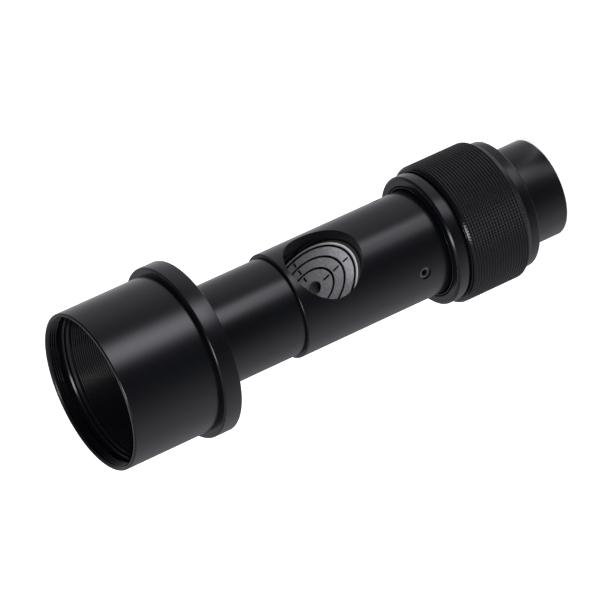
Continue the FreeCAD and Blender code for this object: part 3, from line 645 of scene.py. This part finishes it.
def two_inch_adapter(materials):
    """Barrel adapter with its real thread at the mouth and the ribs in the bore."""
    stub_end = Z_FLANGE - STUB_LEN
    z_floor = Z_FLANGE + ADAPTER_FLOOR
    z_thread_end = Z_FRONT - THREAD_LEN
    z_relief_end = z_thread_end - RELIEF_LEN
    stub_r = STUB_R - STUB_PLAY
    outside = softened([
        (STUB_BORE_R, z_floor), (STUB_BORE_R, stub_end), (STUB_R - SMALL_CHAMFER, stub_end),
        (stub_r, stub_end + SMALL_CHAMFER), (stub_r, Z_FLANGE),
        (FLANGE_R - SMALL_CHAMFER, Z_FLANGE), (FLANGE_R, Z_FLANGE + SMALL_CHAMFER),
        (FLANGE_R, Z_BARREL - FRONT_CHAMFER), (FLANGE_R - FRONT_CHAMFER, Z_BARREL),
        (BARREL_R, Z_BARREL), (BARREL_R, Z_FRONT - FRONT_CHAMFER),
        (BARREL_R - FRONT_CHAMFER, Z_FRONT), (THREAD_R + MOUTH_CHAMFER, Z_FRONT),
        (THREAD_R, Z_FRONT - MOUTH_CHAMFER),
    ], SOFT_EDGE)
    thread = lines_between(Z_FRONT - MOUTH_CHAMFER - 2 * SHORT_ROW, z_thread_end,
                           THREAD_PITCH / THREAD_STEPS)
    z_step = z_relief_end + STEP_CHAMFER
    relief = [(RELIEF_R, z_thread_end - SMALL_CHAMFER), (RELIEF_CONE_R, z_step + SHORT_ROW),
              (RELIEF_CONE_R, z_step), (STEP_R, z_relief_end),
              (STEP_R, z_relief_end - 2 * SHORT_ROW)]
    ribs = lines_between(z_relief_end - SMALL_CHAMFER, z_floor + FLOOR_FOOT,
                         RIB_PITCH / RIB_STEPS)
    foot = [(BARREL_BORE_R, z_floor + FOOT_CHAMFER), (BARREL_BORE_R - FOOT_CHAMFER, z_floor)]
    rows = []
    for on_wall, items in ((False, outside), (True, thread), (False, relief), (True, ribs),
                           (False, foot)):
        for item in items:
            row = []
            for j in range(SEGMENTS):
                turn = j / SEGMENTS
                r, z = (barrel_wall(item, turn), item) if on_wall else item
                row.append(at(r, math.tau * turn, z))
            rows.append(row)
    piece = ring_grid("two_inch_adapter_turned", rows)
    shade(piece, RIB_SHARP_DEG)
    dress(piece, "housing", "black_anodised", materials, "two_inch_adapter")


def cylinder(name, radius, start, direction, length, segments):
    """Closed cylinder from a point along a direction, in millimetres."""
    axis = Vector(direction).normalized()
    side = axis.orthogonal().normalized()
    other = axis.cross(side)
    foot = Vector(start)
    rows = []
    for distance in (0.0, length):
        rows.append([tuple(foot + axis * distance
                           + (side * math.cos(math.tau * j / segments)
                              + other * math.sin(math.tau * j / segments)) * radius)
                     for j in range(segments)])
    vertices = rows[0] + rows[1]
    faces = [(j, (j + 1) % segments, segments + (j + 1) % segments, segments + j)
             for j in range(segments)]
    faces += [tuple(range(segments - 1, -1, -1)), tuple(range(segments, 2 * segments))]
    piece = mesh_object(name, vertices, faces)
    outward(piece)
    return piece


def main_tube(materials):
    """Nose and body with the window and the three screw holes."""
    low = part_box("main_tube")[0].z / MM
    seat_end = Z_FLANGE - (STUB_LEN + STUB_ROOM)
    outline = [(BODY_R - SMALL_CHAMFER, low), (BODY_R, low + SMALL_CHAMFER)]
    outline += [(BODY_R, z)
                for z in lines_between(low + SMALL_CHAMFER, Z_NOSE - SMALL_CHAMFER, WALL_ROW)]
    outline += [(BODY_R, Z_NOSE - SMALL_CHAMFER), (BODY_R - SMALL_CHAMFER, Z_NOSE),
                (NOSE_R, Z_NOSE), (NOSE_R, Z_FLANGE), (STUB_R, Z_FLANGE), (STUB_R, seat_end),
                (TUBE_BORE_R, seat_end)]
    outline += [(TUBE_BORE_R, z) for z in lines_between(seat_end, low, WALL_ROW)]
    outline += [(TUBE_BORE_R, low)]
    piece = turned("main_tube_turned", softened(outline, SOFT_EDGE, 2))
    holes = [("window_cutter", WINDOW_R, WINDOW_ANGLE, Z_WINDOW, WINDOW_SEGMENTS)]
    holes += [("screw_cutter", SCREW_R, angle, Z_SCREWS, SCREW_SEGMENTS)
              for angle in SCREW_ANGLES]
    cut(piece, [cylinder(name, radius, (0, 0, z), at(1.0, math.radians(angle), 0), CUT_REACH,
                         segments)
                for name, radius, angle, z, segments in holes])
    shade(piece)
    modifier = piece.modifiers.new("normals", "WEIGHTED_NORMAL")
    modifier.keep_sharp = True
    dress(piece, "housing", "black_anodised", materials, "main_tube")


def battery_housing(materials):
    """Tail, rear collar and the sleeve under the grip."""
    bearing_r = BODY_R + DIAL_PLAY
    z_shoulder = Z_GRIP + SHOULDER_RISE
    z_thread = Z_FRONT_COLLAR - SLEEVE_THREAD_LEN
    outline = softened([
        (CAP_BORE_R, 0), (NOSE_R - TAIL_CHAMFER, 0), (NOSE_R, TAIL_CHAMFER),
        (NOSE_R, Z_REAR_COLLAR), (REAR_COLLAR_R - REAR_COLLAR_CHAMFER, Z_REAR_COLLAR),
        (REAR_COLLAR_R, Z_REAR_COLLAR + REAR_COLLAR_CHAMFER), (REAR_COLLAR_R, Z_GRIP),
        (SLEEVE_R, Z_GRIP), (SLEEVE_R, Z_FRONT_COLLAR), (SLEEVE_THREAD_R, Z_FRONT_COLLAR),
        (SLEEVE_THREAD_R, z_thread), (bearing_r, z_thread), (bearing_r, z_shoulder),
        (CELL_BORE_R, z_shoulder), (CELL_BORE_R, CAP_BORE_LEN), (CAP_BORE_R, CAP_BORE_LEN),
    ], SOFT_EDGE)
    piece = turned("battery_housing_turned", outline)
    shade(piece)
    dress(piece, "brightness_dial", "black_anodised", materials, "battery_housing")


def front_collar(materials):
    """Smooth collar in front of the grip."""
    z_thread = Z_FRONT_COLLAR - COLLAR_THREAD_LEN
    outline = softened([
        (COLLAR_BORE_R, z_thread), (COLLAR_THREAD_R, z_thread), (COLLAR_THREAD_R, Z_FRONT_COLLAR),
        (FRONT_COLLAR_R - SMALL_CHAMFER, Z_FRONT_COLLAR),
        (FRONT_COLLAR_R, Z_FRONT_COLLAR + SMALL_CHAMFER),
        (FRONT_COLLAR_R, Z_BODY - FRONT_COLLAR_CHAMFER),
        (FRONT_COLLAR_R - FRONT_COLLAR_CHAMFER, Z_BODY),
    ] + [(r, Z_BODY - depth) for r, depth in COLLAR_LIP], SOFT_EDGE)
    piece = turned("front_collar_turned", outline)
    shade(piece)
    dress(piece, "brightness_dial", "black_anodised", materials, "front_collar")


def knurled_grip(materials):
    """Grip ring with a square knurl: rows of small blunt pyramids that run out in the chamfers."""
    z_low = Z_GRIP + GRIP_REAR_CHAMFER[0]
    z_high = Z_GROOVE - GRIP_FRONT_CHAMFER[0]
    margin = (z_high - z_low - KNURL_ROWS * KNURL_PITCH) / 2
    run_out = [KNURL_CROSS_DEPTH * height / depth
               for height, depth in (GRIP_REAR_CHAMFER, GRIP_FRONT_CHAMFER)]
    levels = [(Z_GRIP, 0.0), (z_low - run_out[0], 0.0), (z_low, 0.0)]
    for i in range(KNURL_ROWS):
        levels += [(z_low + margin + i * KNURL_PITCH + rise, share) for rise, share in KNURL_ROW]
    levels += [(z_high, 0.0), (z_high + run_out[1], 0.0), (Z_GROOVE, 0.0)]
    around = [(math.tau * (line + share) / KNURL_AROUND, groove)
              for line in range(KNURL_AROUND) for share, groove in KNURL_LINE]
    rows = []
    for z, row_groove in levels:
        limit = GRIP_R
        if z < z_low:
            limit = GRIP_R - GRIP_REAR_CHAMFER[1] * (z_low - z) / GRIP_REAR_CHAMFER[0]
        if z > z_high:
            limit = GRIP_R - GRIP_FRONT_CHAMFER[1] * (z - z_high) / GRIP_FRONT_CHAMFER[0]
        row = []
        for angle, groove in around:
            sunk = max(KNURL_CROSS_DEPTH * groove, KNURL_DEPTH * row_groove)
            row.append(at(min(limit, GRIP_R - sunk), angle, z))
        rows.append(row)
    bead = [(GRIP_BEAD_R + GRIP_BEAD * math.cos(math.pi * k / BEAD_STEPS),
             Z_GROOVE + GRIP_BEAD * math.sin(math.pi * k / BEAD_STEPS))
            for k in range(BEAD_STEPS + 1)]
    bore_r = SLEEVE_R + GRIP_PLAY
    for r, z in bead + [(bore_r, Z_GROOVE), (bore_r, Z_GRIP)]:
        rows.append([at(r, angle, z) for angle, _ in around])
    piece = ring_grid("knurled_grip_cut", rows)
    shade(piece)
    dress(piece, "brightness_dial", "black_knurl", materials, "knurled_grip")


def finish_frame_nodes(materials):
    """Gives each carried-over node the material of its slot."""
    slots = {part["node"]: part["material_slot"] for part in frame["record"]["subparts"]}
    for name, node in frame["nodes"].items():
        node.data.materials.clear()
        node.data.materials.append(materials[slots[name]])
        for polygon in node.data.polygons:
            polygon.material_index = 0


def looked_up(tree, value, table, top=1.0):
    """Value looked up in a table of (value, level) pairs; no level is above top."""
    start, end = table[0][0], table[-1][0]
    ramp = tree.nodes.new("ShaderNodeValToRGB")
    stops = ramp.color_ramp.elements
    for place, level in table[1:-1]:
        stops.new((place - start) / (end - start))
    for stop, (place, level) in zip(stops, table):
        stop.position = (place - start) / (end - start)
        stop.color = (*[level / top] * 3, 1.0)
    tree.links.new(ranged(tree, value, start, end, 0.0, 1.0), ramp.inputs["Fac"])
    return math_node(tree, "MULTIPLY", ramp.outputs["Color"], top)


def area_light(name, place, side, power):
    """Square soft lamp at a place, pointed at the part."""
    lamp = bpy.data.lights.new(name, "AREA")
    lamp.shape = "SQUARE"
    lamp.size = side
    lamp.energy = power
    holder = bpy.data.objects.new(name, lamp)
    holder.location = place
    aim = Vector(LAMP_AIM) - Vector(place)
    holder.rotation_euler = aim.to_track_quat("-Z", "Y").to_euler()
    bpy.context.scene.collection.objects.link(holder)


def floor():
    """Pale floor: white to the camera, with the part's soft shadow; gloss looks through it, and by
    place the floor paints the strip lamp's reflection dimmer and brighter, with its own levels
    beside the tail.
    """
    corners = [(x * FLOOR_SIZE, y * FLOOR_SIZE, 0) for x, y in ((-1, -1), (1, -1), (1, 1), (-1, 1))]
    mesh = bpy.data.meshes.new("studio_floor")
    mesh.from_pydata(corners, [], [(0, 1, 2, 3)])
    plane = bpy.data.objects.new("studio_floor", mesh)
    bpy.context.scene.collection.objects.link(plane)
    material = bpy.data.materials.new("studio_floor")
    material.use_nodes = True
    material.cycles.emission_sampling = "NONE"
    tree = material.node_tree
    tree.nodes.clear()
    output = tree.nodes.new("ShaderNodeOutputMaterial")
    paper = tree.nodes.new("ShaderNodeBsdfDiffuse")
    paper.inputs["Color"].default_value = (FLOOR_GREY, FLOOR_GREY, FLOOR_GREY, 1.0)
    lift = tree.nodes.new("ShaderNodeEmission")
    lifted = tree.nodes.new("ShaderNodeAddShader")
    clear = tree.nodes.new("ShaderNodeBsdfTransparent")
    choice = tree.nodes.new("ShaderNodeMixShader")
    path = tree.nodes.new("ShaderNodeLightPath")
    geometry = tree.nodes.new("ShaderNodeNewGeometry")
    x, y, _ = axes(tree, geometry.outputs["Position"])
    away, bearing = off_axis(tree, x, y), bearing_of(tree, x, y)
    dim = math_node(tree, "MULTIPLY", looked_up(tree, away, DIM_NEAR),
                    looked_up(tree, bearing, DIM_BEARING))
    lifting = math_node(tree, "MULTIPLY", looked_up(tree, away, LIFT_NEAR),
                        looked_up(tree, bearing, LIFT_BEARING))
    along_part = math_node(tree, "MULTIPLY", math_node(tree, "SUBTRACT", 1.0, dim),
                           math_node(tree, "MULTIPLY_ADD", lifting, LIFT_MOST, 1.0))
    beside_tail = looked_up(tree, bearing, TAIL_BEARING, max(level for _, level in TAIL_BEARING))
    further = ranged(tree, away, *TAIL_SIDE, 0.0, 1.0)
    tree.links.new(blended(tree, further, beside_tail, along_part), clear.inputs["Color"])
    tree.links.new(math_node(tree, "MULTIPLY", path.outputs["Is Camera Ray"], FLOOR_LIFT),
                   lift.inputs["Strength"])
    tree.links.new(paper.outputs["BSDF"], lifted.inputs[0])
    tree.links.new(lift.outputs["Emission"], lifted.inputs[1])
    tree.links.new(path.outputs["Is Glossy Ray"], choice.inputs["Fac"])
    tree.links.new(lifted.outputs["Shader"], choice.inputs[1])
    tree.links.new(clear.outputs["BSDF"], choice.inputs[2])
    tree.links.new(choice.outputs["Shader"], output.inputs["Surface"])
    mesh.materials.append(material)


def world():
    """White background to the camera, the studio in gloss, softer light for everything else."""
    room = bpy.data.worlds.new("studio_room")
    bpy.context.scene.world = room
    room.use_nodes = True
    room.cycles.sampling_method = "NONE"
    tree = room.node_tree
    tree.nodes.clear()
    output = tree.nodes.new("ShaderNodeOutputWorld")
    background = tree.nodes.new("ShaderNodeBackground")
    path = tree.nodes.new("ShaderNodeLightPath")
    coordinates = tree.nodes.new("ShaderNodeTexCoord")
    x, y, height = axes(tree, coordinates.outputs["Generated"])
    bearing = bearing_of(tree, x, y)
    low = looked_up(tree, bearing, GLOSS_LOW, GLOSS_TOP)
    high = looked_up(tree, bearing, GLOSS_HIGH, GLOSS_TOP)
    seen = blended(tree, ranged(tree, height, *GLOSS_HORIZON, 0.0, 1.0), low, high)
    seen = math_node(tree, "MULTIPLY", seen, ranged(tree, height, *GLOSS_BELOW))
    white = math_node(tree, "MAXIMUM", path.outputs["Is Camera Ray"],
                      path.outputs["Is Transmission Ray"])
    plain = math_node(tree, "MULTIPLY_ADD", white, 1.0 - ROOM_LEVEL, ROOM_LEVEL)
    level = blended(tree, path.outputs["Is Glossy Ray"], plain, seen)
    tint = mixed(tree, path.outputs["Is Glossy Ray"], (1.0, 1.0, 1.0), GLOSS_TINT)
    tree.links.new(tint, background.inputs["Color"])
    tree.links.new(level, background.inputs["Strength"])
    tree.links.new(background.outputs["Background"], output.inputs["Surface"])


def lights():
    """Large soft lamps round and above the part."""
    for lamp in LAMPS:
        area_light(*lamp)


def camera():
    """The photograph's view, with its long lens."""
    lens = bpy.data.cameras.new("photo_camera")
    lens.sensor_width = SENSOR_WIDTH
    lens.lens = LENS
    lens.clip_start, lens.clip_end = CLIP_RANGE
    holder = bpy.data.objects.new("photo_camera", lens)
    back = -Vector(CAMERA_AIM).normalized()
    side = Vector(CAMERA_UP).cross(back).normalized()
    up = back.cross(side)
    turn = Matrix((side, up, back)).transposed().to_4x4()
    holder.matrix_world = Matrix.Translation(CAMERA_PLACE) @ turn
    bpy.context.scene.collection.objects.link(holder)
    bpy.context.scene.camera = holder


camera()
materials = make_materials()
finish_frame_nodes(materials)
two_inch_adapter(materials)
main_tube(materials)
battery_housing(materials)
front_collar(materials)
knurled_grip(materials)
floor()
world()
lights()
bpy.context.scene.view_settings.view_transform = "Standard"
